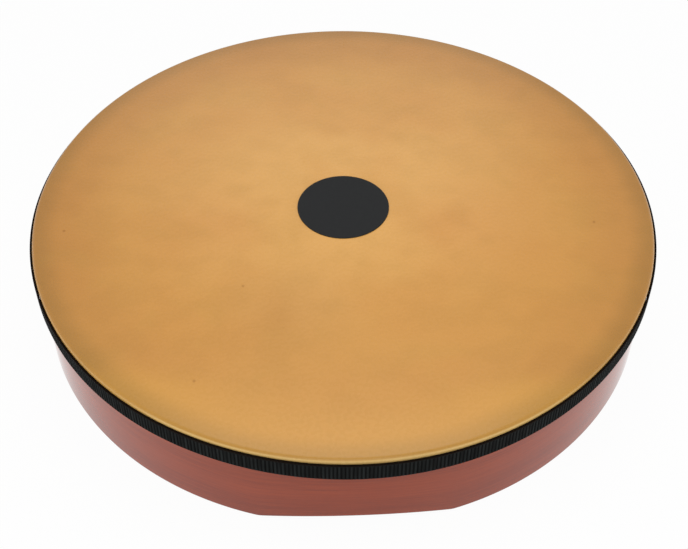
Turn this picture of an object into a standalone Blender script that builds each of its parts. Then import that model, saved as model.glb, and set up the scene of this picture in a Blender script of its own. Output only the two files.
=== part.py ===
"""A frame drum for the hands, 14 inches across: a hoop of bent plies with a film head glued on.

Run it with blender --background --python part.py, or from Blender's text editor.
Units are metres and +Z is up. The drum lies on its open rim with its head upwards, as it is put
down on a table. The origin is on the drum's axis, on the surface that the rim rests on, and the
grip notch is at -Y.
"""

from math import asin, ceil, cos, pi, radians, sin, sqrt, tan

import bmesh
import bpy

# The least distance that two touching pieces keep
CLEARANCE = 0.0003

# The hoop: plies bent round and glued into one wall
HOOP_RADIUS = 0.1766
HOOP_HEIGHT = 0.0583
PLY_COUNT = 7
PLY_THICKNESS = 0.0011

# The bearing edge that the head lies on: round outside, a narrow crest, then a slope inwards
EDGE_ROUND = 0.0016
CREST_WIDTH = 0.0008
EDGE_SLOPE = radians(20)

# The two softened corners of the lower rim
RIM_ROUND = 0.0015

# Where each ply's two ends meet, counted from +X: the outer ply first, then a step for each ply
FIRST_JOINT = radians(110)
JOINT_STEP = radians(65)

# The shallow arc cut from the lower rim at -Y, where the fingers hold the drum
NOTCH_LENGTH = 0.100
NOTCH_DEPTH = 0.0082
NOTCH_END_ROUND = 0.012

# The head: one formed film with a flat face, a round shoulder and a skirt down the hoop.
# The shoulder turns a little wider than the edge that it goes over
FILM_THICKNESS = 0.0004
SHOULDER_SLACK = 0.0004

# The woven tape that covers the skirt and runs on past its lower edge
TAPE_THICKNESS = 0.0009
TAPE_WIDTH = 0.0120
TAPE_BELOW_SHOULDER = 0.0001
TAPE_PAST_SKIRT = 0.0025
TAPE_JOINT = radians(80)

# The band of glue that holds the skirt to the hoop, and how far it stops from the skirt's two ends
GLUE_THICKNESS = 0.0003
GLUE_STOPS_SHORT = 0.0006

# The plain black disc at the middle of the head
DISC_RADIUS = 0.0265
DISC_THICKNESS = 0.0002

# Each finish: a linear colour, then a roughness
STAINED_FACE = (0.245, 0.072, 0.048), 0.32
STAINED_PLY_DARK = (0.215, 0.070, 0.044), 0.55
STAINED_PLY_PALE = (0.275, 0.094, 0.060), 0.50
CURED_GLUE = (0.620, 0.470, 0.230), 0.45
TAN_FILM = (0.640, 0.360, 0.115), 0.38
BLACK_WEAVE = (0.012, 0.012, 0.013), 0.80
BLACK_FILM = (0.022, 0.022, 0.024), 0.45

# How finely round shapes are divided
RING_STEPS = 96
DISC_STEPS = 48
CORNER_STEP = radians(30)
NOTCH_STEP = radians(3)
NOTCH_END_STEP = radians(6)
SMOOTH_BELOW = radians(32)

# Points nearer than this count as one
TINY = 1e-7

# Sizes that follow from the ones above
WALL = PLY_COUNT * PLY_THICKNESS + (PLY_COUNT - 1) * CLEARANCE
HOOP_INNER_RADIUS = HOOP_RADIUS - WALL
GLUE_INNER_RADIUS = HOOP_RADIUS + CLEARANCE
GLUE_OUTER_RADIUS = GLUE_INNER_RADIUS + GLUE_THICKNESS
SKIRT_INNER_RADIUS = GLUE_OUTER_RADIUS + CLEARANCE
SKIRT_OUTER_RADIUS = SKIRT_INNER_RADIUS + FILM_THICKNESS
TAPE_INNER_RADIUS = SKIRT_OUTER_RADIUS + CLEARANCE
HEAD_UNDERSIDE = HOOP_HEIGHT + CLEARANCE
HEAD_TOP = HEAD_UNDERSIDE + FILM_THICKNESS
SHOULDER_INNER_RADIUS = EDGE_ROUND + SHOULDER_SLACK
SHOULDER_LOW = HEAD_UNDERSIDE - SHOULDER_INNER_RADIUS
TAPE_HIGH = SHOULDER_LOW - TAPE_BELOW_SHOULDER
TAPE_LOW = TAPE_HIGH - TAPE_WIDTH
SKIRT_EDGE = TAPE_LOW + TAPE_PAST_SKIRT

# Cutters pass this far through what they cut
CUT_PAST = 0.004


def clear_scene():
    for thing in list(bpy.data.objects):
        bpy.data.objects.remove(thing, do_unlink=True)


def new_collection(name):
    collection = bpy.data.collections.new(name)
    bpy.context.scene.collection.children.link(collection)
    return collection


def paint(solid, finish):
    """Gives a solid its own material in one of the finishes."""
    colour, roughness = finish
    made = bpy.data.materials.new(solid.name)
    made.use_nodes = True
    shader = made.node_tree.nodes["Principled BSDF"]
    shader.inputs["Base Color"].default_value = (*colour, 1)
    shader.inputs["Roughness"].default_value = roughness
    shader.inputs["Metallic"].default_value = 0
    made.diffuse_color = (*colour, 1)
    solid.data.materials.append(made)


def arc(centre, radius, start, end, step):
    """Points (r, z) on an arc, with no stretch of it longer than step."""
    count = max(1, ceil(abs(end - start) / step - TINY))
    angles = [start + (end - start) * k / count for k in range(count + 1)]
    return [(centre[0] + radius * cos(a), centre[1] + radius * sin(a)) for a in angles]


def turned(name, profile, steps, collection):
    """A solid of revolution about Z, from a closed profile that runs down its outer side.

    A profile whose two ends lie on the axis stays open there, and the axis closes it.
    """
    on_axis = profile[0][0] == 0 and profile[-1][0] == 0
    edges = [(k, k + 1) for k in range(len(profile) - 1)]
    if not on_axis:
        edges.append((len(profile) - 1, 0))
    mesh = bpy.data.meshes.new(name)
    mesh.from_pydata([(r, 0, z) for r, z in profile], edges, [])
    solid = bpy.data.objects.new(name, mesh)
    collection.objects.link(solid)
    turn = solid.modifiers.new("Turn", "SCREW")
    turn.axis = "Z"
    turn.steps = steps
    turn.render_steps = steps
    turn.use_merge_vertices = True
    turn.merge_threshold = TINY
    return solid


def cut(solid, cutter):
    boolean = solid.modifiers.new("Cut by " + cutter.name, "BOOLEAN")
    boolean.operation = "DIFFERENCE"
    boolean.solver = "EXACT"
    boolean.object = cutter


def hide_cutter(cutter):
    cutter.hide_render = True
    cutter.display_type = "WIRE"


def joint_cutter(name, inner, outer, angle, collection):
    """A thin upright box across a ring at this angle, as wide as the clearance."""
    bm = bmesh.new()
    bmesh.ops.create_cube(bm, size=1)
    length = outer - inner + 2 * CUT_PAST
    height = HEAD_TOP + 2 * CUT_PAST
    bmesh.ops.scale(bm, vec=(length, CLEARANCE, height), verts=bm.verts)
    mesh = bpy.data.meshes.new(name)
    bm.to_mesh(mesh)
    bm.free()
    cutter = bpy.data.objects.new(name, mesh)
    collection.objects.link(cutter)
    middle = (inner + outer) / 2
    cutter.location = (middle * cos(angle), middle * sin(angle), HEAD_TOP / 2)
    cutter.rotation_euler = (0, 0, angle)
    hide_cutter(cutter)
    return cutter


def notch_outline():
    """Points (x, z) of the grip notch: a long arc with a round at each end, closed below the rim."""
    radius = ((NOTCH_LENGTH / 2) ** 2 + NOTCH_DEPTH**2) / (2 * NOTCH_DEPTH)
    centre_z = NOTCH_DEPTH - radius
    reach = radius + NOTCH_END_ROUND
    round_x = sqrt(reach**2 - (NOTCH_END_ROUND - centre_z) ** 2)
    lean = asin(round_x / reach)
    end_centre = (-round_x, NOTCH_END_ROUND)
    left_round = arc(end_centre, NOTCH_END_ROUND, -pi / 2, lean - pi / 2, NOTCH_END_STEP)
    long_arc = arc((0, centre_z), radius, pi / 2 + lean, pi / 2 - lean, NOTCH_STEP)
    right_round = [(-x, z) for x, z in reversed(left_round)]
    below = [(round_x, -CUT_PAST), (-round_x, -CUT_PAST)]
    return left_round + long_arc[1:-1] + right_round + below


def notch_cutter(collection):
    """The notch's outline carried through the front wall, from outside the hoop to inside it."""
    outline = notch_outline()
    half_width = max(x for x, _ in outline)
    front = -HOOP_RADIUS - CUT_PAST
    back = -sqrt(HOOP_INNER_RADIUS**2 - half_width**2) + CUT_PAST
    bm = bmesh.new()
    face = bm.faces.new([bm.verts.new((x, front, z)) for x, z in outline])
    carried = bmesh.ops.extrude_face_region(bm, geom=[face])
    moved = [piece for piece in carried["geom"] if isinstance(piece, bmesh.types.BMVert)]
    bmesh.ops.translate(bm, vec=(0, back - front, 0), verts=moved)
    bmesh.ops.recalc_face_normals(bm, faces=bm.faces)
    mesh = bpy.data.meshes.new("grip_notch_cutter")
    bm.to_mesh(mesh)
    bm.free()
    cutter = bpy.data.objects.new("grip_notch_cutter", mesh)
    collection.objects.link(cutter)
    hide_cutter(cutter)
    return cutter


def hoop_top_line():
    """Points (r, z) along the hoop's upper edge, from its outer face to its inner one."""
    round_centre = (HOOP_RADIUS - EDGE_ROUND, HOOP_HEIGHT - EDGE_ROUND)
    line = arc(round_centre, EDGE_ROUND, 0, pi / 2, CORNER_STEP)
    crest_end = round_centre[0] - CREST_WIDTH
    line.append((crest_end, HOOP_HEIGHT))
    drop = (crest_end - HOOP_INNER_RADIUS) * tan(EDGE_SLOPE)
    line.append((HOOP_INNER_RADIUS, HOOP_HEIGHT - drop))
    return line


def hoop_bottom_line():
    """Points (r, z) along the hoop's lower edge, from its inner face to its outer one."""
    inner = (HOOP_INNER_RADIUS + RIM_ROUND, RIM_ROUND)
    outer = (HOOP_RADIUS - RIM_ROUND, RIM_ROUND)
    return arc(inner, RIM_ROUND, pi, 1.5 * pi, CORNER_STEP) + arc(
        outer, RIM_ROUND, 1.5 * pi, 2 * pi, CORNER_STEP
    )


def height_at(line, r):
    """The height where a line of (r, z) points passes the radius r."""
    for (r0, z0), (r1, z1) in zip(line, line[1:]):
        if min(r0, r1) <= r <= max(r0, r1) and r0 != r1:
            return z0 + (z1 - z0) * (r - r0) / (r1 - r0)
    nearest = min(line, key=lambda point: abs(point[0] - r))
    return nearest[1]


def slice_of(line, start, end):
    """The part of a line between two radii, in the order from start to end."""
    low, high = min(start, end), max(start, end)
    between = [point for point in line if low + TINY < point[0] < high - TINY]
    between.sort(reverse=start > end)
    return [(start, height_at(line, start)), *between, (end, height_at(line, end))]


def ply_profile(inner, outer):
    """One ply's cross-section, from its top outer corner down and round."""
    top = slice_of(hoop_top_line(), inner, outer)
    bottom = slice_of(hoop_bottom_line(), outer, inner)
    return [top[-1], *bottom, *top[:-1]]


def ply_name(index):
    if index == 0:
        return "outer_veneer"
    if index == PLY_COUNT - 1:
        return "inner_veneer"
    return f"core_ply_{index}"


def ply_finish(index):
    if index in (0, PLY_COUNT - 1):
        return STAINED_FACE
    return STAINED_PLY_DARK if index % 2 else STAINED_PLY_PALE


def make_plies(drum, cutters):
    notch = notch_cutter(cutters)
    plies = []
    for index in range(PLY_COUNT):
        outer = HOOP_RADIUS - index * (PLY_THICKNESS + CLEARANCE)
        inner = outer - PLY_THICKNESS
        name = ply_name(index)
        ply = turned(name, ply_profile(inner, outer), RING_STEPS, drum)
        cut(ply, notch)
        angle = FIRST_JOINT + index * JOINT_STEP
        cut(ply, joint_cutter(name + "_joint_cutter", inner, outer, angle, cutters))
        paint(ply, ply_finish(index))
        plies.append(ply)
    return plies


def make_head(drum):
    centre = (SKIRT_INNER_RADIUS - SHOULDER_INNER_RADIUS, SHOULDER_LOW)
    shoulder = arc(centre, SHOULDER_INNER_RADIUS + FILM_THICKNESS, pi / 2, 0, CORNER_STEP)
    under_shoulder = arc(centre, SHOULDER_INNER_RADIUS, 0, pi / 2, CORNER_STEP)
    edges = [(SKIRT_OUTER_RADIUS, SKIRT_EDGE), (SKIRT_INNER_RADIUS, SKIRT_EDGE)]
    profile = [(0, HEAD_TOP), *shoulder, *edges, *under_shoulder, (0, HEAD_UNDERSIDE)]
    head = turned("head_film", profile, RING_STEPS, drum)
    paint(head, TAN_FILM)
    return head


def band_profile(inner, outer, low, high):
    return [(outer, high), (outer, low), (inner, low), (inner, high)]


def make_glue(drum):
    low = SKIRT_EDGE + GLUE_STOPS_SHORT
    high = SHOULDER_LOW - GLUE_STOPS_SHORT
    profile = band_profile(GLUE_INNER_RADIUS, GLUE_OUTER_RADIUS, low, high)
    glue = turned("head_glue", profile, RING_STEPS, drum)
    paint(glue, CURED_GLUE)
    return glue


def make_tape(drum, cutters):
    outer = TAPE_INNER_RADIUS + TAPE_THICKNESS
    profile = band_profile(TAPE_INNER_RADIUS, outer, TAPE_LOW, TAPE_HIGH)
    tape = turned("edge_tape", profile, RING_STEPS, drum)
    cut(tape, joint_cutter("edge_tape_joint_cutter", TAPE_INNER_RADIUS, outer, TAPE_JOINT, cutters))
    paint(tape, BLACK_WEAVE)
    return tape


def make_disc(drum):
    low = HEAD_TOP + CLEARANCE
    high = low + DISC_THICKNESS
    profile = [(0, high), (DISC_RADIUS, high), (DISC_RADIUS, low), (0, low)]
    disc = turned("centre_disc", profile, DISC_STEPS, drum)
    paint(disc, BLACK_FILM)
    return disc


def finish(solid, parent):
    """Applies what shapes the solid, shades its round faces smooth and hangs it on the drum."""
    graph = bpy.context.evaluated_depsgraph_get()
    made = bpy.data.meshes.new_from_object(solid.evaluated_get(graph))
    made.name = solid.name
    solid.modifiers.clear()
    solid.data = made
    made.shade_smooth()
    made.set_sharp_from_angle(angle=SMOOTH_BELOW)
    solid.parent = parent


def main():
    clear_scene()
    drum = new_collection("hand_drum")
    cutters = new_collection("cutters")
    axis = bpy.data.objects.new("hand_drum", None)
    drum.objects.link(axis)
    pieces = make_plies(drum, cutters)
    pieces.append(make_glue(drum))
    pieces.append(make_head(drum))
    pieces.append(make_tape(drum, cutters))
    pieces.append(make_disc(drum))
    bpy.context.view_layer.update()
    for piece in pieces:
        finish(piece, axis)


main()
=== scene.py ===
# %% [markdown]
# # A frame drum for the hands
#
# The drum is a tan film stretched over a shallow ring of bent plies, with a black woven tape round
# its edge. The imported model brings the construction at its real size. It is loaded first and is
# never moved, and each surface made in this lesson takes its place from it.

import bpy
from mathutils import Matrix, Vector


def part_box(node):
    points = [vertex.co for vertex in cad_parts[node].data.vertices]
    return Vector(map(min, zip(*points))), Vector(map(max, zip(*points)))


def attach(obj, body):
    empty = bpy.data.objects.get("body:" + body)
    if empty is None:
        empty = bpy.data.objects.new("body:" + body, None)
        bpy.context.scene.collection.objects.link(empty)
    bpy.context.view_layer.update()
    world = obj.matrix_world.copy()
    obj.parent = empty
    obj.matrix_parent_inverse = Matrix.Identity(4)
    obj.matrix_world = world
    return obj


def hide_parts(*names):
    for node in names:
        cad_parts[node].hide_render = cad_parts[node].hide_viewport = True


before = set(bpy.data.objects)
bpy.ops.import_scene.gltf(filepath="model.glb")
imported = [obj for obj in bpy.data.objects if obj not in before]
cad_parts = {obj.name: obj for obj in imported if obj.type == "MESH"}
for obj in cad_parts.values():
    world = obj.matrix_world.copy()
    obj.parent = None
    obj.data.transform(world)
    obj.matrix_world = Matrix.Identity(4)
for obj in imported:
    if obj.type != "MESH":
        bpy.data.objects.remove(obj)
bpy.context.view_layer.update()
print("packed nodes:", ", ".join(sorted(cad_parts)))

# %% Tools used from here on
from math import asin, cos, pi, radians, sin, sqrt, tan

import bpy
import numpy as np
from mathutils import Matrix, Vector

scene = bpy.context.scene
scene.view_settings.view_transform = "Standard"

# %% [markdown]
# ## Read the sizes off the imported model
#
# Every ring is centred on the Z axis, so half the width of a node's box is its outer radius, and
# the box gives its heights too. Reading them here, instead of writing them down again, keeps the
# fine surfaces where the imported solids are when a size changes. Only what a box can't tell is
# written as a value: how thick a ply and the film are, and how the wall's corners are shaped.

# %% Radii and heights of the rings
PLY_NAMES = ["outer_veneer", *[f"core_ply_{number}" for number in range(1, 6)], "inner_veneer"]


def ring_size(node):
    """Outer radius, lowest and highest point of a packed ring, from its box."""
    low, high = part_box(node)
    return high.x, low.z, high.z


hoop_radius = ring_size("outer_veneer")[0]
hoop_top = max(ring_size(name)[2] for name in PLY_NAMES)
ply_pitch = hoop_radius - ring_size("core_ply_1")[0]
skirt_radius, skirt_low, head_top = ring_size("head_film")
tape_radius, tape_low, tape_high = ring_size("edge_tape")
disc_radius, _, disc_high = ring_size("centre_disc")
print(f"hoop {2000 * hoop_radius:.1f} mm across and {1000 * hoop_top:.1f} mm high")
print(f"tape from {1000 * tape_low:.1f} to {1000 * tape_high:.1f} mm up")

# %% Thicknesses and the shape of the wall's corners
PLY_THICKNESS = 0.0011
FILM_THICKNESS = 0.0004
TAPE_THICKNESS = 0.0009
EDGE_ROUND = 0.0016
CREST_WIDTH = 0.0008
EDGE_SLOPE = radians(20)
RIM_ROUND = 0.0015
SHOULDER_SLACK = 0.0004

hoop_inner_radius = ring_size("inner_veneer")[0] - PLY_THICKNESS
print(f"wall {1000 * (hoop_radius - hoop_inner_radius):.1f} mm thick")

# %% [markdown]
# ## Grids of points
#
# Every piece of the drum goes round its axis, so each surface is a grid: one row of points for
# each angle and one column for each point of a profile. The profile runs down the outer side and
# back up inside. Quads that join neighbours in that order face outwards. Where a ring closes on
# itself its last row joins the first, and where a ply or the tape has two ends they are capped.

# %% Quads of a grid
SHARP_ABOVE = radians(40)


def grid_corners(rows, columns, rows_meet, columns_meet):
    """Row and column numbers of each quad's four corners, in the order that faces outwards.

    Where rows or columns meet again, the number after the last one runs on past the end. The mesh
    takes it modulo the count, and the UV map doesn't, so a pattern doesn't fold back there.
    """
    row = np.arange(rows if rows_meet else rows - 1)
    column = np.arange(columns if columns_meet else columns - 1)
    i, j = (numbers.ravel() for numbers in np.meshgrid(row, column, indexing="ij"))
    return np.stack([i, i, i + 1, i + 1], axis=1), np.stack([j, j + 1, j + 1, j], axis=1)


def new_piece(name, points, faces):
    """An object at the origin from an array of points and a list of arrays of corner numbers."""
    corners = np.concatenate([group.ravel() for group in faces])
    sizes = np.concatenate([np.full(len(group), group.shape[1]) for group in faces])
    mesh = bpy.data.meshes.new(name)
    mesh.vertices.add(len(points))
    mesh.vertices.foreach_set("co", points.astype(np.float32).ravel())
    mesh.loops.add(len(corners))
    mesh.loops.foreach_set("vertex_index", corners.astype(np.int32))
    mesh.polygons.add(len(sizes))
    mesh.polygons.foreach_set("loop_start", (np.cumsum(sizes) - sizes).astype(np.int32))
    mesh.update(calc_edges=True)
    mesh.shade_smooth()
    mesh.set_sharp_from_angle(angle=SHARP_ABOVE)
    piece = bpy.data.objects.new(name, mesh)
    scene.collection.objects.link(piece)
    print(f"{name}: {len(points)} points, {len(sizes)} faces")
    return piece


def map_pattern(piece, name, along, across):
    """A UV map from the two coordinates of every face corner."""
    layer = piece.data.uv_layers.new(name=name)
    layer.uv.foreach_set("vector", np.stack([along, across], axis=1).astype(np.float32).ravel())


# %% A ring with two ends
def ring_with_ends(name, ring, run, girths, pattern):
    """A closed profile carried round to a joint, with a face over each of its two ends.

    The ring's rows are the profile's places on the way round, and its columns the profile's points.
    The pattern's map has the run of a point's row along it and the girth at its column across it.
    """
    rows, columns = ring.shape[:2]
    i, j = grid_corners(rows, columns, False, True)
    quads = i * columns + j % columns
    first_end = np.arange(columns)[::-1]
    last_end = (rows - 1) * columns + np.arange(columns)
    piece = new_piece(name, ring.reshape(-1, 3), [quads, first_end[None, :], last_end[None, :]])
    end_run = np.concatenate([np.full(columns, run[0]), np.full(columns, run[-1])])
    end_girth = np.concatenate([girths[:-1][::-1], girths[:-1]])
    along = np.concatenate([run[i].ravel(), end_run])
    map_pattern(piece, pattern, along, np.concatenate([girths[j].ravel(), end_girth]))
    return piece


# %% Points round the axis
def round_axis(radius, angle, height):
    """Points at a radius and an angle counted from +X, at a height: x = r cos a, y = r sin a."""
    radius, angle, height = np.broadcast_arrays(radius, angle, height)
    return np.stack([radius * np.cos(angle), radius * np.sin(angle), height], axis=-1)


def eased(start, end, count):
    """Numbers from start to end that lie closer together near both ends, on a half cosine."""
    return start + (end - start) * (1 - np.cos(np.linspace(0, pi, count))) / 2


def girth(radius, height):
    """Distance run along a closed profile up to each of its points, and on round to the first."""
    steps = np.hypot(np.diff(radius, append=radius[0]), np.diff(height, append=height[0]))
    return np.concatenate([[0], np.cumsum(steps)])


# %% [markdown]
# ## Take the photograph's view
#
# A camera was fitted to the circles of the head and the tape. The values below are that fit: how
# far the camera stands from the middle of the head, how high it looks down from, and where it
# aims. It comes early because the clouds and specks on the head are later placed through it.

# %% Camera
PICTURE_WIDTH = 688
PICTURE_HEIGHT = 549
FOCAL_LENGTH_PIXELS = 1200
CAMERA_DISTANCE = 0.6981
CAMERA_ELEVATION = radians(42.87)
CAMERA_TURN = radians(-2.3)
CAMERA_ROLL = radians(0.1)
AIM_RIGHT = 0.00045
AIM_FORWARD = 0.0522
SENSOR_WIDTH = 36
NEAREST_SEEN = 0.01

turn = Matrix.Rotation(CAMERA_TURN, 3, "Z")
back_and_up = Vector((0, -cos(CAMERA_ELEVATION), sin(CAMERA_ELEVATION)))
camera_place = turn @ back_and_up * CAMERA_DISTANCE + Vector((0, 0, tape_high))
aim = turn @ Vector((AIM_RIGHT, -AIM_FORWARD, 0)) + Vector((0, 0, tape_high))
view_line = (aim - camera_place).normalized()
level_right = view_line.cross(Vector((0, 0, 1))).normalized()
level_up = level_right.cross(view_line)
camera_right = level_right * cos(CAMERA_ROLL) + level_up * sin(CAMERA_ROLL)
camera_up = level_up * cos(CAMERA_ROLL) - level_right * sin(CAMERA_ROLL)

lens = bpy.data.cameras.new("photo_camera")
lens.sensor_width = SENSOR_WIDTH
lens.lens = SENSOR_WIDTH * FOCAL_LENGTH_PIXELS / PICTURE_WIDTH
lens.clip_start = NEAREST_SEEN
camera = bpy.data.objects.new("photo_camera", lens)
scene.collection.objects.link(camera)
axes = Matrix((camera_right, camera_up, -view_line)).transposed()
camera.matrix_world = Matrix.Translation(camera_place) @ axes.to_4x4()
scene.camera = camera
print(f"lens {lens.lens:.1f} mm, {1000 * camera_place.length:.0f} mm from the origin")


# %% Where a pixel of the photograph falls on the head
def on_head(column, row):
    """The point of the head's top that a pixel shows: its line of sight down to that height."""
    sideways = camera_right * (column - PICTURE_WIDTH / 2)
    upwards = camera_up * (PICTURE_HEIGHT / 2 - row)
    sight = view_line * FOCAL_LENGTH_PIXELS + sideways + upwards
    return camera_place + sight * ((head_top - camera_place.z) / sight.z)


# %% [markdown]
# ## The grip notch
#
# The fingers hold the drum at a shallow arc cut from the lower rim. Its outline is a height over
# x: a long circular arc, and at each end a small round that meets the rim without a corner. The
# same formula shapes every ply, so the notch runs through the whole wall.

# %% Height of the notch
NOTCH_LENGTH = 0.100
NOTCH_DEPTH = 0.0082
NOTCH_END_ROUND = 0.012

notch_radius = ((NOTCH_LENGTH / 2) ** 2 + NOTCH_DEPTH**2) / (2 * NOTCH_DEPTH)
notch_centre = NOTCH_DEPTH - notch_radius
notch_reach = sqrt((notch_radius + NOTCH_END_ROUND) ** 2 - (NOTCH_END_ROUND - notch_centre) ** 2)
notch_lean = asin(notch_reach / (notch_radius + NOTCH_END_ROUND))
arc_reach = notch_reach - NOTCH_END_ROUND * sin(notch_lean)


def notch_height(points_x, points_y):
    """How high the lower rim lies at a point: nothing outside the notch or behind the drum's middle,
    the small end round as far as it meets the arc, and the arc between."""
    x = np.minimum(np.abs(points_x), notch_reach)
    arc = notch_centre + np.sqrt(notch_radius**2 - x**2)
    from_end = np.minimum(notch_reach - x, NOTCH_END_ROUND)
    end = NOTCH_END_ROUND - np.sqrt(NOTCH_END_ROUND**2 - from_end**2)
    return np.where(points_y < 0, np.where(x < arc_reach, arc, end), 0)


print(f"notch {2000 * notch_reach:.1f} mm long and {1000 * NOTCH_DEPTH:.1f} mm deep")


# %% [markdown]
# ## The plies
#
# A hoop of this kind is bent from thin sheets, one round the other, each with a butt joint where
# its ends meet. They could be one turned wall with painted lines, but seen from below the sheets
# are what tells bent wood from plastic. So each ply is its own surface, as thick as its share of
# the wall less a hairline, with its edges eased so that the glue lines show as fine grooves.

# %% Upper and lower edge of the wall
PLY_EDGE_EASE = 0.00016


def upper_edge(radius):
    """Height of the bearing edge: a quarter round in from the outer face, a flat crest, then a
    slope down to the inner face."""
    inward = hoop_radius - radius
    short = np.clip(EDGE_ROUND - inward, 0, EDGE_ROUND)
    quarter_round = hoop_top - EDGE_ROUND + np.sqrt(EDGE_ROUND**2 - short**2)
    return quarter_round - np.clip(inward - EDGE_ROUND - CREST_WIDTH, 0, None) * tan(EDGE_SLOPE)


def lower_edge(radius):
    """Height of the rim: flat, with a quarter round up to each face of the wall."""
    inward = np.minimum(hoop_radius - radius, radius - hoop_inner_radius)
    short = np.clip(RIM_ROUND - inward, 0, RIM_ROUND)
    return RIM_ROUND - np.sqrt(RIM_ROUND**2 - short**2)


def eased_corner(radius, inner, outer):
    """How far a ply's edge falls back at its two faces: a small quarter round."""
    short = np.clip(PLY_EDGE_EASE - np.minimum(outer - radius, radius - inner), 0, PLY_EDGE_EASE)
    return PLY_EDGE_EASE - np.sqrt(PLY_EDGE_EASE**2 - short**2)


# %% One ply as a surface
RING_ROWS = 720
EDGE_POINTS = 11
GLUE_LINE = 0.00006
JOINT_GAP = 0.00012
FIRST_JOINT = radians(110)
JOINT_STEP = radians(65)
WALL_SHARES = np.array([0.004, 0.02, 0.2, 0.4, 0.6, 0.8, 0.98, 0.996])


def ply_surface(name, inner, outer, joint):
    """A bent sheet from its joint round to its joint again.

    A point's height is its share of the way from the upper edge to the lower edge at its radius.
    The share grows from 0 to 1 down the outer face, stays 1 under the rim, falls back up the
    inner face and stays 0 over the top. The lower edge is lifted by the notch.
    """
    across = eased(outer, inner, EDGE_POINTS)
    walls = np.full(len(WALL_SHARES), outer), np.full(len(WALL_SHARES), inner)
    radius = np.concatenate([walls[0], across, walls[1], across[::-1]])
    over, under = np.zeros(len(across)), np.ones(len(across))
    share = np.concatenate([WALL_SHARES, under, WALL_SHARES[::-1], over])
    half_gap = JOINT_GAP / 2 / outer
    angle = np.linspace(joint + half_gap, joint + 2 * pi - half_gap, RING_ROWS)
    ease = eased_corner(radius, inner, outer)
    high = upper_edge(radius) - ease
    ring = round_axis(radius[None, :], angle[:, None], 0.0)
    low = lower_edge(radius) + ease + notch_height(ring[..., 0], ring[..., 1])
    ring[..., 2] = (1 - share) * high + share * low
    girths = girth(radius, (1 - share) * high + share * lower_edge(radius))
    run = (angle - joint) * (inner + outer) / 2
    return ring_with_ends(name, ring, run, girths, "grain")


plies = []
for index, ply_name in enumerate(PLY_NAMES):
    ply_outer = hoop_radius - index * ply_pitch
    ply_inner = ply_outer - ply_pitch + GLUE_LINE
    if index == len(PLY_NAMES) - 1:
        ply_inner = hoop_inner_radius
    joint_angle = FIRST_JOINT + index * JOINT_STEP
    plies.append(ply_surface("fine_" + ply_name, ply_inner, ply_outer, joint_angle))

# %% [markdown]
# ## The head
#
# The head is one formed film: flat over the hoop, round at the shoulder and straight down the
# outside as a skirt. It is a closed shell with its real thickness, so its underside is there when
# the drum is turned over. A profile from the axis out and down, then back inside, is turned in
# one grid, and a fan closes it at each end on the axis.

# %% A closed film turned round the axis
def turned_film(name, radius, height, rows):
    """Rings of points at the profile's radii and heights, with a point on the axis at each end."""
    angle = np.linspace(0, 2 * pi, rows, endpoint=False)
    rings = round_axis(radius[None, 1:-1], angle[:, None], height[None, 1:-1])
    columns = rings.shape[1]
    i, j = grid_corners(rows, columns, True, False)
    quads = (i % rows) * columns + j
    row = np.arange(rows)
    after = (row + 1) % rows
    first_pole = np.full(rows, rows * columns)
    top_fan = np.stack([first_pole, row * columns, after * columns], axis=1)
    low_fan = np.stack([first_pole + 1, (after + 1) * columns - 1, (row + 1) * columns - 1], axis=1)
    poles = [[0, 0, height[0]], [0, 0, height[-1]]]
    return new_piece(name, np.concatenate([rings.reshape(-1, 3), poles]), [quads, top_fan, low_fan])


def quarter_turn(centre_radius, centre_height, size, start, end, count):
    """Radii and heights on an arc of that size between two angles."""
    angle = np.linspace(start, end, count)
    return centre_radius + size * np.cos(angle), centre_height + size * np.sin(angle)


# %% The head's profile
HEAD_ROWS = 480
FACE_RINGS = 30
TURN_RINGS = 17
SKIRT_RINGS = 5

shoulder_inner = EDGE_ROUND + SHOULDER_SLACK
shoulder_outer = shoulder_inner + FILM_THICKNESS
shoulder_radius = skirt_radius - shoulder_outer
shoulder_height = head_top - shoulder_outer
outer_turn = quarter_turn(shoulder_radius, shoulder_height, shoulder_outer, pi / 2, 0, TURN_RINGS)
inner_turn = quarter_turn(shoulder_radius, shoulder_height, shoulder_inner, 0, pi / 2, TURN_RINGS)
face_radii = eased(0, 2 * shoulder_radius, 2 * FACE_RINGS + 1)[:FACE_RINGS]
skirt_heights = np.linspace(shoulder_height, skirt_low, SKIRT_RINGS + 1)[1:]
outside_radii = [face_radii, outer_turn[0], np.full(SKIRT_RINGS, skirt_radius)]
inside_radii = [np.full(SKIRT_RINGS, skirt_radius - FILM_THICKNESS), inner_turn[0], face_radii[::-1]]
outside_heights = [np.full(FACE_RINGS, head_top), outer_turn[1], skirt_heights]
inside_heights = [skirt_heights[::-1], inner_turn[1], np.full(FACE_RINGS, head_top - FILM_THICKNESS)]
head_radius = np.concatenate([*outside_radii, *inside_radii])
head_height = np.concatenate([*outside_heights, *inside_heights])
head = turned_film("fine_head_film", head_radius, head_height, HEAD_ROWS)

# %% [markdown]
# ## The tape
#
# The tape is a grosgrain ribbon. Its weft makes ribs across the ribbon, so they stand upright
# round the drum, about two millimetres apart. At the drum's front each rib catches the light by
# itself, so the ribs are modelled and not left to bump: eight rows of points for each rib, closer
# together in the groove, and no two ribs are equally deep. They fade out into a flat selvage at the
# tape's two edges, and the lower edge turns in a little towards the wood. A tape is laid by hand, so
# it wanders a third of a millimetre up and down on its way round. It also stands a fifth of a
# millimetre proud of its packed ring, as soft cloth does and as the photograph's outline shows.

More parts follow.
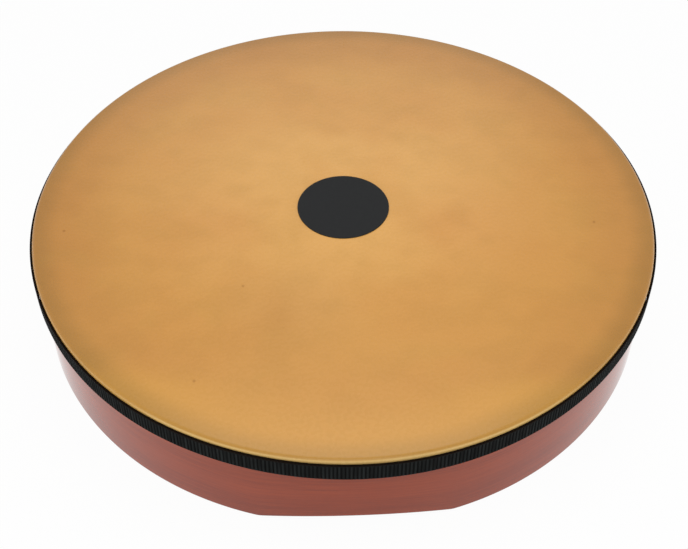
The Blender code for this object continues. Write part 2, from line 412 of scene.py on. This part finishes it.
# %% The ribbed tape
RIB_COUNT = 578
RIB_DEPTH = 0.0005
RIB_ROWS = np.array([0.0, 0.05, 0.14, 0.3, 0.5, 0.7, 0.86, 0.95])
RIB_UNEVEN = 0.45
RIB_SEED = 3
ARCH_POWER = 0.7
TAPE_JOINT = radians(80)
TAPE_GAP = 0.0002
TAPE_PROUD = 0.0002
TAPE_LIFT = 0.0003
TAPE_WANDER = 0.0003
WANDERS_ROUND = 6
HIGHEST_WANDER = radians(-112)
TAPE_DROP = 0.0004
SELVAGE = 0.0013
TAPE_EDGE_ROUND = 0.0003
TURN_IN_HEIGHT = 0.0012
TURN_IN = 0.0002
FACE_SHARES = np.array([0, 0.012, 0.035, 0.07, 0.11, 0.16, 0.34, 0.56, 0.78, 0.90, 0.94, 0.975, 1])
BACK_SHARES = np.array([1, 0.9, 0.5, 0])


def tape_profile():
    """Radii and heights of the tape's cross-section without ribs, and how much of a rib each point
    shows: all of it between the selvages on the outer face, none on the inner."""
    top = tape_high - TAPE_DROP
    bottom = tape_low + TAPE_LIFT
    height = top + np.concatenate([FACE_SHARES, BACK_SHARES]) * (bottom - top)
    turn_in = np.clip(1 - (height - bottom) / TURN_IN_HEIGHT, 0, 1) ** 2 * TURN_IN
    from_end = np.minimum(height - bottom, top - height)
    short = np.clip(TAPE_EDGE_ROUND - from_end, 0, TAPE_EDGE_ROUND)
    rounding = TAPE_EDGE_ROUND - np.sqrt(TAPE_EDGE_ROUND**2 - short**2)
    outside = np.arange(len(height)) < len(FACE_SHARES)
    radius = tape_radius - turn_in + np.where(outside, TAPE_PROUD - rounding, -TAPE_THICKNESS)
    return radius, height, np.where(outside, np.clip(from_end / SELVAGE, 0, 1), 0)


def ribbed_tape(name):
    """The profile carried round from joint to joint. A rib's outline is an arch: a sine to a power
    below one, which is broad at its crest and narrow in its groove. The tape's height follows a
    cosine of the angle that swings a few times on the way round."""
    radius, height, rib_share = tape_profile()
    phase = np.concatenate([(np.arange(RIB_COUNT)[:, None] + RIB_ROWS).ravel(), [RIB_COUNT]])
    groove = 1 - np.abs(np.sin(pi * phase)) ** ARCH_POWER
    half_gap = TAPE_GAP / 2 / tape_radius
    angle = TAPE_JOINT + half_gap + (2 * pi - 2 * half_gap) * phase / RIB_COUNT
    evenness = 1 - RIB_UNEVEN * np.random.default_rng(RIB_SEED).random(RIB_COUNT + 1)
    depth = RIB_DEPTH * evenness[phase.astype(int)] * groove
    ribbed = radius[None, :] - depth[:, None] * rib_share[None, :]
    wander = TAPE_WANDER * np.cos(WANDERS_ROUND * (angle - HIGHEST_WANDER))
    ring = round_axis(ribbed, angle[:, None], height[None, :] + wander[:, None])
    return ring_with_ends(name, ring, phase / RIB_COUNT, girth(radius, height), "weave")


tape = ribbed_tape("fine_edge_tape")
print(f"ribs {1000 * 2 * pi * tape_radius / RIB_COUNT:.2f} mm apart")

# %% [markdown]
# ## The disc
#
# A plain black disc marks the middle of the head. It is a thin film with a soft edge that lies
# on the head, so it is turned like the head, with its underside a hair above the film.

# %% The centre disc
DISC_EDGE_ROUND = 0.00018
DISC_SEAT = 0.00002
DISC_ROWS = 180
DISC_RINGS = 12
DISC_TURN_RINGS = 7

turn_radius = disc_radius - DISC_EDGE_ROUND
turn_height = disc_high - DISC_EDGE_ROUND
disc_turn = quarter_turn(turn_radius, turn_height, DISC_EDGE_ROUND, pi / 2, 0, DISC_TURN_RINGS)
disc_rings = np.linspace(0, disc_radius - 2 * DISC_EDGE_ROUND, DISC_RINGS)
disc_radii = np.concatenate([disc_rings, disc_turn[0], [disc_radius], disc_rings[::-1]])
over_disc = np.full(DISC_RINGS, disc_high)
under_disc = np.full(DISC_RINGS + 1, head_top + DISC_SEAT)
disc_heights = np.concatenate([over_disc, disc_turn[1], under_disc])
disc = turned_film("fine_centre_disc", disc_radii, disc_heights, DISC_ROWS)


# %% [markdown]
# ## Finishes
#
# Each finish is one Principled shader with its colour, roughness and bump worked out from noise.
# The film reads Object coordinates, which are metres on a piece that lies at the origin. The wood
# and the tape read their own UV maps, because grain and weave follow the surface round the drum.
# Nearly all of a noise lies in the span named first, so a range over it uses the whole noise.

# %% Small helpers for shader nodes
NOISE_SPAN = (0.3, 0.7)
FLAT = (1, 1, 0)


def new_finish(name):
    """A material, its node tree and its shader."""
    finish = bpy.data.materials.new(name)
    finish.use_nodes = True
    return finish, finish.node_tree, finish.node_tree.nodes["Principled BSDF"]


def feed(tree, socket, value):
    """Links a node's output to a socket, or sets the socket to a plain value."""
    if isinstance(value, bpy.types.NodeSocket):
        tree.links.new(value, socket)
    else:
        socket.default_value = value


def surface_point(tree, uv_map=None):
    """Metres on the piece: Object coordinates, or one of its UV maps."""
    if uv_map is None:
        return tree.nodes.new("ShaderNodeTexCoord").outputs["Object"]
    node = tree.nodes.new("ShaderNodeUVMap")
    node.uv_map = uv_map
    return node.outputs["UV"]


def stretched(tree, vector, scale, location=(0, 0, 0)):
    """The point with each coordinate multiplied, so that a pattern is finer along some of them."""
    node = tree.nodes.new("ShaderNodeMapping")
    node.inputs["Scale"].default_value = scale
    node.inputs["Location"].default_value = location
    feed(tree, node.inputs["Vector"], vector)
    return node.outputs["Vector"]


def noise(tree, vector, scale, detail=3.0, roughness=0.5, distortion=0.0):
    """Soft noise about 0.5, with that many patches to a metre."""
    node = tree.nodes.new("ShaderNodeTexNoise")
    feed(tree, node.inputs["Vector"], vector)
    node.inputs["Scale"].default_value = scale
    node.inputs["Detail"].default_value = detail
    node.inputs["Roughness"].default_value = roughness
    node.inputs["Distortion"].default_value = distortion
    return node.outputs["Fac"]


def ranged(tree, value, low, high, to_low=0.0, to_high=1.0):
    """The value's way from low to high, turned into a smooth way from to_low to to_high."""
    node = tree.nodes.new("ShaderNodeMapRange")
    node.interpolation_type = "SMOOTHSTEP"
    feed(tree, node.inputs["Value"], value)
    node.inputs["From Min"].default_value = low
    node.inputs["From Max"].default_value = high
    node.inputs["To Min"].default_value = to_low
    node.inputs["To Max"].default_value = to_high
    return node.outputs["Result"]


def parted(tree, vector):
    """The X, Y and Z of a point, each by its letter."""
    node = tree.nodes.new("ShaderNodeSeparateXYZ")
    feed(tree, node.inputs["Vector"], vector)
    return node.outputs


def reckon(tree, operation, first, second=0.0):
    """One step of arithmetic on two numbers."""
    node = tree.nodes.new("ShaderNodeMath")
    node.operation = operation
    feed(tree, node.inputs[0], first)
    feed(tree, node.inputs[1], second)
    return node.outputs["Value"]


def tinted(tree, share, first, second, way="MIX"):
    """Two colours mixed, or one multiplied by the other, by a share.

    A mix node has sockets for every kind of value: 6 and 7 take its colours, and 2 gives their mix.
    """
    node = tree.nodes.new("ShaderNodeMix")
    node.data_type = "RGBA"
    node.blend_type = way
    feed(tree, node.inputs[0], share)
    feed(tree, node.inputs[6], first)
    feed(tree, node.inputs[7], second)
    return node.outputs[2]


def raised(tree, height, distance, strength):
    """A bump of that many metres from a height of 0 to 1."""
    node = tree.nodes.new("ShaderNodeBump")
    node.inputs["Strength"].default_value = strength
    node.inputs["Distance"].default_value = distance
    feed(tree, node.inputs["Height"], height)
    return node.outputs["Normal"]


# %% [markdown]
# ### The film
#
# The film is dyed in the mass and a little cloudy, and it is painted paler in the middle of the head,
# a painted pool of light. It could be one colour with one noise, but real film is uneven at every
# size, so four noises share the work: broad clouds, wisps, a fine mottle and a grain that only the
# gloss shows. Towards the edge it is painted darker, painted shade that is lighter at the front.
# Where the film lies over the hoop it is painted darker still in a soft band, painted shade where the
# wood under it keeps light from coming through, fullest for the last few millimetres before the
# shoulder. Where the film bends down and stands clear of the wood it is painted pale, a painted
# highlight that is strongest at the front. Over the grip notch the band is narrower, and the film is
# painted paler, a painted highlight. Three duller clouds and four specks are placed one by one: each
# is a pixel of the photograph, brought to the head through the camera.

# %% Colours and gloss of the film
# The colour at the middle of the head, paler as a painted pool of light.
FILM_LIT_MIDDLE = (0.68, 0.355, 0.090, 1)
FILM_TAN = (0.59, 0.280, 0.056, 1)
FILM_WARM = (0.585, 0.266, 0.051, 1)
FILM_OLIVE = (0.56, 0.285, 0.054, 1)
FILM_MOTTLE = (0.955, 0.955, 0.925, 1)
# Painted highlight over the grip notch.
FILM_NOTCH_HIGHLIGHT = (0.645, 0.318, 0.056, 1)
# Painted highlight on the turned edge of the film.
FILM_EDGE_HIGHLIGHT = (0.715, 0.460, 0.155, 1)
# Painted shade towards the edge of the head.
PAINTED_EDGE_SHADE = (0.89, 0.845, 0.80, 1)
# Painted shade of the band over the hoop.
SHADE_OVER_WOOD = (0.78, 0.80, 0.745, 1)
SPECK_BROWN = (0.60, 0.48, 0.15, 1)
FILM_ROUGHNESS = (0.26, 0.29)
FILM_IOR = 1.42
FILM_GRAINS_A_METRE = 420
FILM_GRAIN_HEIGHT = 0.00002
FILM_GRAIN_STRENGTH = 0.05

# %% The dyed film: how fine each noise is, where it starts to show and how much
CLOUDS_A_METRE = 16
CLOUDS_FROM_TO = (0.42, 0.68)
CLOUDS_SHARE = 0.5
WISPS_A_METRE = 34
WISPS_SHIFT = (3, 1, 2)
WISPS_FROM_TO = (0.50, 0.72)
WISPS_SHARE = 0.3
MOTTLE_A_METRE = (48, 62, 62)
MOTTLE_SHIFT = (5, 0, 0)
MOTTLE_FROM_TO = (0.40, 0.66)
# Where the painted pool of light in the middle lies and how far out it fades.
LIT_MIDDLE_PLACE = (0, 0.015, 0)
LIT_MIDDLE_FROM_TO = (0.02, 0.15)


def measured(tree, operation, vector, other):
    """How far each point lies from a place, or how far along a direction."""
    node = tree.nodes.new("ShaderNodeVectorMath")
    node.operation = operation
    feed(tree, node.inputs[0], vector)
    node.inputs[1].default_value = other
    return node.outputs["Value"]


def dyed_and_lit_colour(tree, point):
    """The film's colour: a painted pool of light in the middle, with clouds, wisps and a mottle."""
    clouds = noise(tree, point, CLOUDS_A_METRE, detail=2.0)
    shifted = stretched(tree, point, (1, 1, 1), WISPS_SHIFT)
    wisps = noise(tree, shifted, WISPS_A_METRE, detail=4.0, distortion=0.6)
    mottle = noise(tree, stretched(tree, point, MOTTLE_A_METRE, MOTTLE_SHIFT), 1.0, detail=2.5)
    from_lit_middle = measured(tree, "DISTANCE", stretched(tree, point, FLAT), LIT_MIDDLE_PLACE)
    # Painted pool of light: paler in the middle of the head.
    colour = tinted(tree, ranged(tree, from_lit_middle, *LIT_MIDDLE_FROM_TO), FILM_LIT_MIDDLE, FILM_TAN)
    cloudy = ranged(tree, clouds, *CLOUDS_FROM_TO, 0.0, CLOUDS_SHARE)
    colour = tinted(tree, cloudy, colour, FILM_WARM)
    wispy = ranged(tree, wisps, *WISPS_FROM_TO, 0.0, WISPS_SHARE)
    colour = tinted(tree, wispy, colour, FILM_OLIVE)
    return tinted(tree, ranged(tree, mottle, *MOTTLE_FROM_TO), colour, FILM_MOTTLE, "MULTIPLY")


print(f"clouds {1000 / CLOUDS_A_METRE:.0f} mm across, wisps {1000 / WISPS_A_METRE:.0f} mm")


# %% Towards the edge: metres from the drum's axis, forward to the notch, or below the top
# Painted shade towards the edge, lighter at the front.
DARKER_FROM_TO = (0.125, 0.165)
# The band of painted shade over the hoop, narrower at the front.
BAND_FROM_TO = (0.161, 0.1758)
BAND_FORWARD = (0.145, 0.163)
BAND_FURTHER_OUT = 0.002
# The painted highlight over the notch, and the way towards the notch that the other marks use too.
NOTCH_HEADING = radians(-4)
NOTCH_TOWARDS = (sin(NOTCH_HEADING), -cos(NOTCH_HEADING), 0)
NOTCH_HIGHLIGHT_FROM_TO = (0.125, 0.168)
NOTCH_HIGHLIGHT_FORWARD = (0.115, 0.138)
NOTCH_HIGHLIGHT_SHARE = 0.75
LESS_DARK_FORWARD = (0.06, 0.12)
LESS_DARK_SHARE = 0.55
# The painted highlight on the turned edge, strongest at the front.
EDGE_BELOW_TOP = (0.0006, 0.0014)
FRONT = (0, -1, 0)
EDGE_FORWARD = (0.128, 0.160)
EDGE_SHARE_AT_SIDES = 0.3


def edge_tinted(tree, point, colour):
    """The colour with painted shade towards the edge and a painted highlight over the notch, then the
    painted shade of the band over the wood, then the painted highlight on the turned edge."""
    from_axis = measured(tree, "DISTANCE", stretched(tree, point, FLAT), (0, 0, 0))
    forward = measured(tree, "DOT_PRODUCT", point, NOTCH_TOWARDS)
    # Painted shade towards the edge, less of it at the front.
    front_share = ranged(tree, forward, *LESS_DARK_FORWARD, 1.0, LESS_DARK_SHARE)
    darker = reckon(tree, "MULTIPLY", ranged(tree, from_axis, *DARKER_FROM_TO), front_share)
    colour = tinted(tree, darker, colour, PAINTED_EDGE_SHADE, "MULTIPLY")
    # Painted highlight over the notch.
    notch_highlight_share = ranged(tree, forward, *NOTCH_HIGHLIGHT_FORWARD, 0.0, NOTCH_HIGHLIGHT_SHARE)
    notch_highlight = reckon(tree, "MULTIPLY", ranged(tree, from_axis, *NOTCH_HIGHLIGHT_FROM_TO), notch_highlight_share)
    colour = tinted(tree, notch_highlight, colour, FILM_NOTCH_HIGHLIGHT)
    # Painted shade of the band over the hoop.
    further_out = ranged(tree, forward, *BAND_FORWARD, 0.0, BAND_FURTHER_OUT)
    band = ranged(tree, reckon(tree, "SUBTRACT", from_axis, further_out), *BAND_FROM_TO)
    colour = tinted(tree, band, colour, SHADE_OVER_WOOD, "MULTIPLY")
    # Painted highlight on the turned edge.
    below_top = reckon(tree, "SUBTRACT", head_top, parted(tree, point)["Z"])
    to_front = measured(tree, "DOT_PRODUCT", point, FRONT)
    edge_highlight_share = ranged(tree, to_front, *EDGE_FORWARD, EDGE_SHARE_AT_SIDES, 1.0)
    edge = reckon(tree, "MULTIPLY", ranged(tree, below_top, *EDGE_BELOW_TOP), edge_highlight_share)
    return tinted(tree, edge, colour, FILM_EDGE_HIGHLIGHT)


print(f"band over the wood fades in over {1000 * (BAND_FROM_TO[1] - BAND_FROM_TO[0]):.1f} mm")


# %% Clouds and specks at listed pixels, and the whole film
DULL_CLOUDS = [
    ((290, 308), 0.055, (0.935, 0.93, 0.96, 1)),
    ((470, 225), 0.055, (0.985, 0.945, 0.955, 1)),
    ((215, 225), 0.050, (0.98, 0.95, 0.96, 1)),
]
SPECK_PIXELS = [(64, 231), (594, 222), (243, 286), (194, 381)]
SPECK_HEART = 0.00036
SPECK_RADIUS = 0.0012
SPECK_SHARE = 0.7


def spotted(tree, point, colour, pixel, heart, reach, share, tint):
    """The colour with a spot where the pixel falls: full within its heart, gone at its reach."""
    near = measured(tree, "DISTANCE", point, on_head(*pixel))
    return tinted(tree, ranged(tree, near, heart, reach, share, 0.0), colour, tint, "MULTIPLY")


def film_finish():
    """The tan film, with a grain that roughens its gloss."""
    finish, tree, shader = new_finish("tan_film")
    point = surface_point(tree)
    colour = dyed_and_lit_colour(tree, point)
    for pixel, reach, tint in DULL_CLOUDS:
        colour = spotted(tree, point, colour, pixel, 0.0, reach, 1.0, tint)
    colour = edge_tinted(tree, point, colour)
    for pixel in SPECK_PIXELS:
        spot = (SPECK_HEART, SPECK_RADIUS, SPECK_SHARE)
        colour = spotted(tree, point, colour, pixel, *spot, SPECK_BROWN)
    grain = noise(tree, point, FILM_GRAINS_A_METRE, detail=2.0)
    bump = raised(tree, grain, FILM_GRAIN_HEIGHT, FILM_GRAIN_STRENGTH)
    feed(tree, shader.inputs["Base Color"], colour)
    feed(tree, shader.inputs["Roughness"], ranged(tree, grain, *NOISE_SPAN, *FILM_ROUGHNESS))
    feed(tree, shader.inputs["Normal"], bump)
    shader.inputs["IOR"].default_value = FILM_IOR
    return finish


# %% [markdown]
# ### The wood
#
# The hoop is stained red-brown and lacquered, so its grain is quiet: fine streaks that run round
# the drum, broad bands of slightly lighter and darker stain, and short pores. Noise stretched some
# twenty times along the grain gives the bands and the pores, and the streaks take twice that. The
# lacquer is clear and nearly smooth. It hardly shows where it is met squarely and mirrors the pale
# floor where the hoop turns away, which the shader's own reflection does without any help, if its
# roughness is low. The inner plies were sanded at their edges, and every second one shows its grain
# end on, which is darker.

# %% Colours and grain of the wood
STAIN_DARK = (0.235, 0.027, 0.0022, 1)
STAIN_LIGHT = (0.330, 0.044, 0.0050, 1)
CROSS_DARK = (0.140, 0.017, 0.0020, 1)
CROSS_LIGHT = (0.200, 0.030, 0.0040, 1)
PORE_SHADE = (0.45, 0.40, 0.38, 1)
LACQUER_IOR = 1.38
FACE_ROUGHNESS = 0.07
SANDED_ROUGHNESS = 0.4
SMOOTHEST_SHARE = 0.7
STREAKS_A_METRE = (26, 1150, 1)
STREAKS_SHARE = 0.62
BANDS_A_METRE = (4.5, 75, 1)
BANDS_SHIFT = (7, 3, 0)
TONE_FROM_TO = (0.34, 0.66)
PORES_A_METRE = (190, 4200, 1)
PORES_SHIFT = (2, 9, 0)
PORES_FROM_TO = (0.60, 0.74)
PORES_SHARE = 0.32
STREAK_HEIGHT = 0.00002
STREAK_STRENGTH = 0.04

print(f"a streak is {1000 / STREAKS_A_METRE[1]:.1f} by {1000 / STREAKS_A_METRE[0]:.0f} mm")


# %% The wood's finish
def wood_finish(name, dark, light, roughest):
    """Stained wood: fine streaks and broad bands between two colours, with darker pores."""
    finish, tree, shader = new_finish(name)
    point = surface_point(tree, "grain")
    streaks = noise(tree, stretched(tree, point, STREAKS_A_METRE), 1.0, detail=4.0, roughness=0.62)
    banded = stretched(tree, point, BANDS_A_METRE, BANDS_SHIFT)
    bands = noise(tree, banded, 1.0, detail=2.0, distortion=0.4)
    pores = noise(tree, stretched(tree, point, PORES_A_METRE, PORES_SHIFT), 1.0, detail=1.0)
    fine_tone = reckon(tree, "MULTIPLY", streaks, STREAKS_SHARE)
    broad_tone = reckon(tree, "MULTIPLY", bands, 1 - STREAKS_SHARE)
    tone = reckon(tree, "ADD", fine_tone, broad_tone)
    colour = tinted(tree, ranged(tree, tone, *TONE_FROM_TO), dark, light)
    pore = ranged(tree, pores, *PORES_FROM_TO, 0.0, PORES_SHARE)
    colour = tinted(tree, pore, colour, PORE_SHADE, "MULTIPLY")
    gloss = ranged(tree, streaks, *NOISE_SPAN, roughest * SMOOTHEST_SHARE, roughest)
    feed(tree, shader.inputs["Base Color"], colour)
    feed(tree, shader.inputs["Roughness"], gloss)
    feed(tree, shader.inputs["Normal"], raised(tree, streaks, STREAK_HEIGHT, STREAK_STRENGTH))
    shader.inputs["IOR"].default_value = LACQUER_IOR
    return finish


face_wood = wood_finish("stained_face_wood", STAIN_DARK, STAIN_LIGHT, FACE_ROUGHNESS)
long_wood = wood_finish("stained_long_ply", STAIN_DARK, STAIN_LIGHT, SANDED_ROUGHNESS)
cross_wood = wood_finish("stained_cross_ply", CROSS_DARK, CROSS_LIGHT, SANDED_ROUGHNESS)

# %% [markdown]
# ### The tape, the disc and the glue
#
# The tape is black yarn with a faint blue-green cast. The crest of a rib is painted paler than its
# groove, partly as wear and partly as a painted highlight, with painted shade in the groove. Its warp
# threads cross the ribs as fine level lines, and no two ribs are quite alike. The disc is matt black
# film. The glue is hardly seen, and its packed ring keeps its own shape and only gets a finish.

# %% Tape finish
# Painted shade in the grooves and a painted highlight on the crests, partly wear.
YARN_GROOVE_SHADE = (0.0020, 0.0022, 0.0021, 1)
YARN_CREST_HIGHLIGHT = (0.0160, 0.0192, 0.0189, 1)
TOP_EDGE_BLACK = (0.0045, 0.0018, 0.0006, 1)
TOP_EDGE_START = 0.0010
TOP_EDGE_FULL = 0.0005
CREST_FROM_TO = (0.45, 1.0)
PATCHES_A_METRE = 40
DULLEST_RIB = 0.15
THREADS_A_METRE = 420
THREAD_WANDER = 1.2
THREAD_HEIGHT = 0.00006
THREAD_STRENGTH = 0.5
YARN_ROUGHNESS = 0.75
YARN_SPECULAR = 0.05
YARN_SHEEN = 0.02
YARN_SHEEN_ROUGHNESS = 0.4


def tape_finish():
    """Black yarn, painted paler on the crest of each rib by |sin| of its place along the tape, partly
    wear and partly painted highlight, with painted shade in the groove and level threads as a bump."""
    finish, tree, shader = new_finish("black_grosgrain")
    point = surface_point(tree, "weave")
    rib_place = reckon(tree, "MULTIPLY", parted(tree, point)["X"], RIB_COUNT * pi)
    rib_wave = reckon(tree, "ABSOLUTE", reckon(tree, "SINE", rib_place))
    # Crests painted paler, partly wear and partly painted highlight.
    crest = ranged(tree, rib_wave, *CREST_FROM_TO)
    per_rib = noise(tree, stretched(tree, point, (RIB_COUNT, PATCHES_A_METRE, 1)), 1.0, detail=2.0)
    tone = reckon(tree, "MULTIPLY", crest, ranged(tree, per_rib, *NOISE_SPAN, DULLEST_RIB, 1.0))
    colour = tinted(tree, tone, YARN_GROOVE_SHADE, YARN_CREST_HIGHLIGHT)
    height = parted(tree, surface_point(tree))["Z"]
    top = tape_high - TAPE_DROP
    top_edge = ranged(tree, height, top - TOP_EDGE_START, top - TOP_EDGE_FULL)
    threads = tree.nodes.new("ShaderNodeTexWave")
    threads.bands_direction = "Y"
    feed(tree, threads.inputs["Vector"], stretched(tree, point, (RIB_COUNT / 2, THREADS_A_METRE, 1)))
    threads.inputs["Scale"].default_value = 1.0
    threads.inputs["Distortion"].default_value = THREAD_WANDER
    bump = raised(tree, threads.outputs["Fac"], THREAD_HEIGHT, THREAD_STRENGTH)
    feed(tree, shader.inputs["Base Color"], tinted(tree, top_edge, colour, TOP_EDGE_BLACK))
    feed(tree, shader.inputs["Normal"], bump)
    shader.inputs["Roughness"].default_value = YARN_ROUGHNESS
    shader.inputs["Specular IOR Level"].default_value = YARN_SPECULAR
    shader.inputs["Sheen Weight"].default_value = YARN_SHEEN
    shader.inputs["Sheen Roughness"].default_value = YARN_SHEEN_ROUGHNESS
    return finish


# %% Disc and glue finishes
DISC_DARK = (0.010, 0.011, 0.011, 1)
DISC_LIGHT = (0.015, 0.015, 0.016, 1)
GLUE_DARK = (0.50, 0.36, 0.16, 1)
GLUE_LIGHT = (0.66, 0.52, 0.28, 1)
DISC_GRAINS_A_METRE = 900
DISC_ROUGHNESS = (0.62, 0.72)
DISC_SPECULAR = 0.15
GLUE_CLOUDS_A_METRE = 60
GLUE_ROUGHNESS = (0.35, 0.5)


def disc_finish():
    """Black film whose fine grain varies both its tone and its gloss."""
    finish, tree, shader = new_finish("matt_black_film")
    grain = noise(tree, surface_point(tree), DISC_GRAINS_A_METRE, detail=2.0)
    feed(tree, shader.inputs["Base Color"], tinted(tree, grain, DISC_DARK, DISC_LIGHT))
    feed(tree, shader.inputs["Roughness"], ranged(tree, grain, *NOISE_SPAN, *DISC_ROUGHNESS))
    shader.inputs["Specular IOR Level"].default_value = DISC_SPECULAR
    return finish


def glue_finish():
    """Cured glue, clouded where it ran thicker."""
    finish, tree, shader = new_finish("cured_glue")
    clouds = noise(tree, surface_point(tree), GLUE_CLOUDS_A_METRE)
    feed(tree, shader.inputs["Base Color"], tinted(tree, clouds, GLUE_DARK, GLUE_LIGHT))
    feed(tree, shader.inputs["Roughness"], ranged(tree, clouds, *NOISE_SPAN, *GLUE_ROUGHNESS))
    return finish


# %% [markdown]
# ## Dress the drum
#
# A new piece takes its finish, rides on the drum's one body and stands for the imported node whose
# place it has.

# %% Put finishes, bodies and nodes together
def dress(piece, finish, node):
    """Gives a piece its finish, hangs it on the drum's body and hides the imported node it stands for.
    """
    piece.data.materials.append(finish)
    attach(piece, "root")
    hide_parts(node)
    print(f"{piece.name} stands for {node}, in {finish.name} of {len(finish.node_tree.nodes)} nodes")


for index, (piece, node_name) in enumerate(zip(plies, PLY_NAMES)):
    if node_name.startswith("core"):
        dress(piece, cross_wood if index % 2 else long_wood, node_name)
    else:
        dress(piece, face_wood, node_name)
dress(head, film_finish(), "head_film")
dress(tape, tape_finish(), "edge_tape")
dress(disc, disc_finish(), "centre_disc")

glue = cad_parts["head_glue"]
glue.data.materials.clear()
glue.data.materials.append(glue_finish())

# %% [markdown]
# ## Floor, world and lamps
#
# The photograph has a white ground and hardly a shadow. A ray from the camera, or one mirrored by
# the lacquer, finds white there, while the light that falls on the drum stays at a plain level.
# The floor mixes that white with its own shaded surface, so the drum's soft shadow stays on it.
# The side boxes stand low, so a low view would find them mirrored in the head as white patches.
# They light the drum, but nothing mirrors them.

# %% Light path: is this ray one that should see the white ground
def sees_ground(tree):
    """One for a camera, glossy or transmission ray, and nothing for light on its way to a surface."""
    path = tree.nodes.new("ShaderNodeLightPath")
    first_two = reckon(tree, "MAXIMUM", path.outputs["Is Camera Ray"], path.outputs["Is Glossy Ray"])
    return reckon(tree, "MAXIMUM", first_two, path.outputs["Is Transmission Ray"])


# %% World
AMBIENT = 0.55
WHITE = (1, 1, 1, 1)

world = bpy.data.worlds.new("white_room")
scene.world = world
world.use_nodes = True
sky = world.node_tree
ambient = sky.nodes["Background"]
ambient.inputs["Color"].default_value = WHITE
ambient.inputs["Strength"].default_value = AMBIENT
ground = sky.nodes.new("ShaderNodeBackground")
ground.inputs["Color"].default_value = WHITE
ground.inputs["Strength"].default_value = 1
either = sky.nodes.new("ShaderNodeMixShader")
sky.links.new(sees_ground(sky), either.inputs[0])
sky.links.new(ambient.outputs[0], either.inputs[1])
sky.links.new(ground.outputs[0], either.inputs[2])
sky.links.new(either.outputs[0], sky.nodes["World Output"].inputs["Surface"])
print(f"light from all round: {AMBIENT}")

# %% Floor
FLOOR_SIZE = 12.0
FLOOR_PALE = (0.85, 0.85, 0.85, 1)
FLOOR_ROUGHNESS = 0.9
FLOOR_SPECULAR = 0.1
WHITE_TO_CAMERA = 0.96

floor_points = np.array([[-1, -1, 0], [1, -1, 0], [1, 1, 0], [-1, 1, 0]]) * FLOOR_SIZE / 2
floor = new_piece("floor", floor_points, [np.array([[0, 1, 2, 3]])])
floor_finish, floor_tree, floor_shader = new_finish("white_floor")
floor_shader.inputs["Base Color"].default_value = FLOOR_PALE
floor_shader.inputs["Roughness"].default_value = FLOOR_ROUGHNESS
floor_shader.inputs["Specular IOR Level"].default_value = FLOOR_SPECULAR
white = floor_tree.nodes.new("ShaderNodeEmission")
white.inputs["Strength"].default_value = 1
path = floor_tree.nodes.new("ShaderNodeLightPath")
kept_shadow = reckon(floor_tree, "MULTIPLY", path.outputs["Is Camera Ray"], 1 - WHITE_TO_CAMERA)
share = reckon(floor_tree, "SUBTRACT", sees_ground(floor_tree), kept_shadow)
mixed = floor_tree.nodes.new("ShaderNodeMixShader")
floor_tree.links.new(share, mixed.inputs[0])
floor_tree.links.new(floor_shader.outputs[0], mixed.inputs[1])
floor_tree.links.new(white.outputs[0], mixed.inputs[2])
floor_tree.links.new(mixed.outputs[0], floor_tree.nodes["Material Output"].inputs["Surface"])
floor.data.materials.append(floor_finish)


# %% Lamps
def soft_box(name, place, aim_at, width, height, brightness, mirrored=True):
    """A rectangle of light whose surface is that bright, where 1 is as bright as white paper looks."""
    data = bpy.data.lights.new(name, "AREA")
    data.shape = "RECTANGLE"
    data.size = width
    data.size_y = height
    data.energy = brightness * pi * width * height
    lamp = bpy.data.objects.new(name, data)
    scene.collection.objects.link(lamp)
    lamp.location = place
    lamp.rotation_euler = (Vector(aim_at) - Vector(place)).to_track_quat("-Z", "Y").to_euler()
    lamp.visible_camera = False
    lamp.visible_glossy = mirrored
    print(f"{name}: {data.energy:.2f} watts")


MIDDLE = (0, 0, head_top)
soft_box("overhead_box", (0, -0.035, 0.43), (0, -0.035, 0), 0.32, 0.32, 1.88)
soft_box("back_box", (0, 1.08, 0.80), MIDDLE, 0.7, 0.35, 0.8)
soft_box("front_box", (0, -1.00, 0.75), MIDDLE, 0.6, 0.35, 1.7)
soft_box("left_box", (-0.72, -0.35, 0.18), MIDDLE, 0.4, 0.4, 3.4, mirrored=False)
soft_box("right_box", (0.75, -0.25, 0.25), MIDDLE, 0.4, 0.4, 3.1, mirrored=False)
